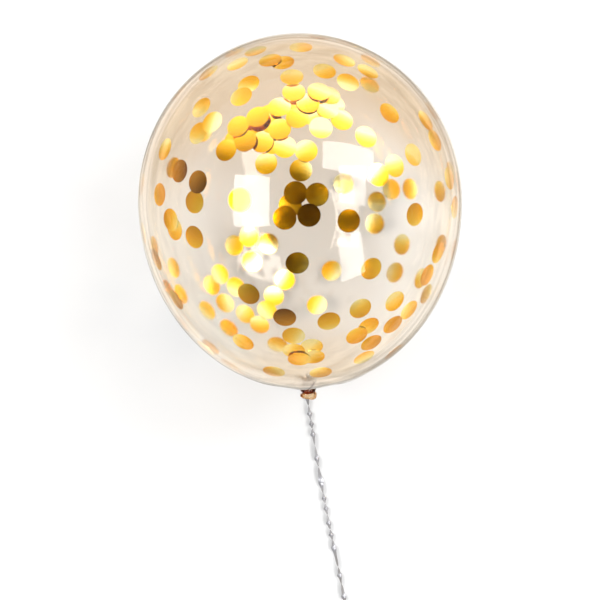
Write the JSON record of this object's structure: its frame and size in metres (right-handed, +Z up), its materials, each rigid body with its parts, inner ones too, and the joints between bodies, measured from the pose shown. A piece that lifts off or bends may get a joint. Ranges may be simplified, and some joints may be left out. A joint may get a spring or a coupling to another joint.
{
  "type": "confetti balloon",
  "caption": "Clear round party balloon with loose gold foil discs inside, its neck knotted and tied with a thin silver ribbon, lying on its side.",
  "frame": {"origin": "on the small flat spot that the balloon rests on, under its lowest point", "axes": "+Z up; the balloon's own axis lies in the YZ plane, with the neck towards -Y and 20 degrees down and the crown towards +Y and up; +X across the balloon"},
  "size_m": [0.29, 0.5914, 0.291],
  "materials": {
    "clear_latex": "thin clear stretched latex, glossy, faintly warm",
    "silver_ribbon": "metallised silver film ribbon, mirror-like",
    "gold_foil": "metallised gold film discs, satin mirror"
  },
  "bodies": {
    "root": {"balloon": "clear_latex", "ribbon_tie": "silver_ribbon", "ribbon": "silver_ribbon", "ribbon_end_knot": "silver_ribbon"}
  },
  "joints": []
}
